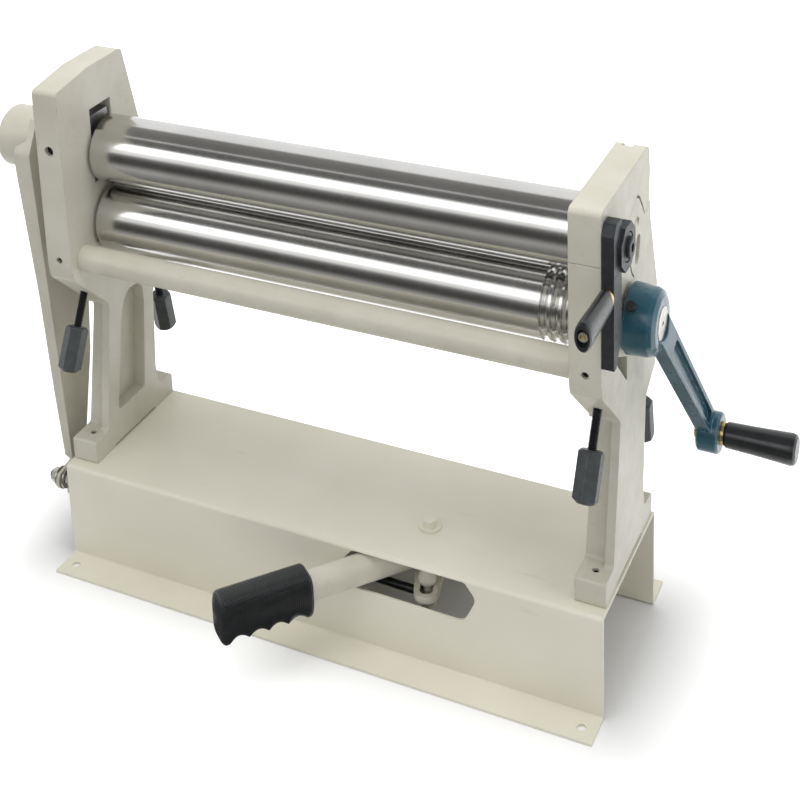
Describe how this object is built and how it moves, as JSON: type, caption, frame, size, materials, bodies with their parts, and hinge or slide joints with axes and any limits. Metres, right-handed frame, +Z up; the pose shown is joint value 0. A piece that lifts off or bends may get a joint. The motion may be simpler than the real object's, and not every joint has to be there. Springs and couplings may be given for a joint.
{
  "type": "slip roll machine",
  "caption": "Bench slip roll for bending sheet metal: cream end frames on a folded base, steel rolls, teal crank, lift lever, latch and adjusting knobs.",
  "frame": {"origin": "on the floor under the centre of the base's four bolt holes", "axes": "+X along the rolls towards the crank, +Y to the back, +Z up"},
  "size_m": [0.9462, 0.3821, 0.6315],
  "materials": {
    "frame_cream": "semi_gloss",
    "base_cream": "semi_gloss",
    "roll_steel": "polished",
    "block_iron": "machined",
    "screw_steel": "satin",
    "knob_grey": "satin",
    "fastener_zinc": "satin",
    "crank_teal": "gloss",
    "brass_collar": "polished",
    "grip_black": "satin",
    "latch_black": "satin"
  },
  "bodies": {
    "machine_frame": {"base_channel": "base_cream", "left_end_frame": "frame_cream", "right_end_frame": "frame_cream", "frame_foot_screws": "screw_steel", "front_tie_bar": "frame_cream", "tie_bar_screws": "screw_steel", "tilt_pins": "screw_steel", "upper_bearing_right": "block_iron", "lever_pivot_bolt": "base_cream", "lever_pivot_washers": "base_cream"},
    "tilt_head": {"upper_bearing_left": "block_iron", "lift_arm": "frame_cream"},
    "upper_roll_body": {"upper_roll": "roll_steel"},
    "lift_handle": {"lift_lever": "frame_cream", "lever_grip": "grip_black"},
    "link": {"link_rod": "screw_steel", "link_nuts": "fastener_zinc", "link_pin": "frame_cream", "link_pin_nut": "fastener_zinc"},
    "front_carriage": {"lower_bearing_left": "block_iron", "lower_bearing_right": "block_iron"},
    "driven_roll": {"lower_roll": "roll_steel", "crank_handle": "crank_teal", "crank_set_screw": "latch_black", "crank_end_washer": "fastener_zinc", "crank_end_screw": "fastener_zinc", "crank_spindle": "brass_collar"},
    "crank_grip_body": {"crank_grip": "grip_black"},
    "rear_carriage": {"rear_bearing_left": "block_iron", "rear_bearing_right": "block_iron"},
    "rear_roll_body": {"rear_roll": "roll_steel"},
    "cap": {"right_frame_cap": "frame_cream"},
    "latch": {"latch_lever": "latch_black", "latch_pivot_bolt": "latch_black", "latch_grip_collar": "brass_collar", "latch_grip": "grip_black", "latch_grip_screw": "fastener_zinc"},
    "front_left_adjuster": {"front_left_screw": "screw_steel", "front_left_knob": "knob_grey"},
    "front_right_adjuster": {"front_right_screw": "screw_steel", "front_right_knob": "knob_grey"},
    "rear_left_adjuster": {"rear_left_screw": "screw_steel", "rear_left_knob": "knob_grey"},
    "rear_right_adjuster": {"rear_right_screw": "screw_steel", "rear_right_knob": "knob_grey"}
  },
  "joints": [
    {"name": "lift_lever_swing", "type": "hinge", "parent": "machine_frame", "child": "lift_handle", "pos_m": [0.117, -0.031, 0.101], "axis": [0, 0, 1], "range_deg": [0, 30]},
    {"name": "roll_lift", "type": "hinge", "parent": "machine_frame", "child": "tilt_head", "pos_m": [-0.322, -0.01, 0.548], "axis": [0, -1, 0], "range_deg": [0, 3]},
    {"name": "link_slide", "type": "slide", "parent": "machine_frame", "child": "link", "axis": [1, 0, 0], "range_m": [0, 0.02461]},
    {"name": "upper_roll_spin", "type": "hinge", "parent": "tilt_head", "child": "upper_roll_body", "pos_m": [0, -0.01, 0.521], "axis": [1, 0, 0], "continuous": true},
    {"name": "front_adjust", "type": "slide", "parent": "machine_frame", "child": "front_carriage", "axis": [0, 0.4695, 0.8829], "range_m": [-0.01, 0.006]},
    {"name": "lower_roll_spin", "type": "hinge", "parent": "front_carriage", "child": "driven_roll", "pos_m": [0, -0.01, 0.432], "axis": [1, 0, 0], "continuous": true},
    {"name": "crank_grip_spin", "type": "hinge", "parent": "driven_roll", "child": "crank_grip_body", "pos_m": [0.455, 0.091, 0.252], "axis": [1, 0, 0], "continuous": true},
    {"name": "rear_adjust", "type": "slide", "parent": "machine_frame", "child": "rear_carriage", "axis": [0, -0.1822, 0.9833], "range_m": [-0.02, 0.018]},
    {"name": "rear_roll_spin", "type": "hinge", "parent": "rear_carriage", "child": "rear_roll_body", "pos_m": [0, 0.0675, 0.462], "axis": [1, 0, 0], "continuous": true},
    {"name": "cap_hinge", "type": "hinge", "parent": "machine_frame", "child": "cap", "pos_m": [0.322, 0.064, 0.529], "axis": [-1, 0, 0], "range_deg": [0, 40]},
    {"name": "latch_swing", "type": "hinge", "parent": "cap", "child": "latch", "pos_m": [0.346, -0.064, 0.541], "axis": [-1, 0, 0], "range_deg": [0, 70]},
    {"name": "front_left_turn", "type": "hinge", "parent": "front_carriage", "child": "front_left_adjuster", "pos_m": [-0.322, -0.01, 0.432], "axis": [0, 0.4695, 0.8829], "range_deg": [-2400.5, 1440.5]},
    {"name": "front_right_turn", "type": "hinge", "parent": "front_carriage", "child": "front_right_adjuster", "pos_m": [0.322, -0.01, 0.432], "axis": [0, 0.4695, 0.8829], "range_deg": [-2400.5, 1440.5]},
    {"name": "rear_left_turn", "type": "hinge", "parent": "rear_carriage", "child": "rear_left_adjuster", "pos_m": [-0.322, 0.0675, 0.462], "axis": [0, -0.1822, 0.9833], "range_deg": [-4800.5, 4320.5]},
    {"name": "rear_right_turn", "type": "hinge", "parent": "rear_carriage", "child": "rear_right_adjuster", "pos_m": [0.322, 0.0675, 0.462], "axis": [0, -0.1822, 0.9833], "range_deg": [-4800.5, 4320.5]}
  ],
  "couplings": [
    {"joint": "roll_lift", "follows": "lift_lever_swing", "ratio": 0.1},
    {"joint": "link_slide", "follows": "lift_lever_swing", "m_per_rad": 0.047},
    {"joint": "front_left_turn", "follows": "front_adjust", "rad_per_m": 4188.8},
    {"joint": "front_right_turn", "follows": "front_adjust", "rad_per_m": 4188.8},
    {"joint": "rear_left_turn", "follows": "rear_adjust", "rad_per_m": 4188.8},
    {"joint": "rear_right_turn", "follows": "rear_adjust", "rad_per_m": 4188.8}
  ]
}
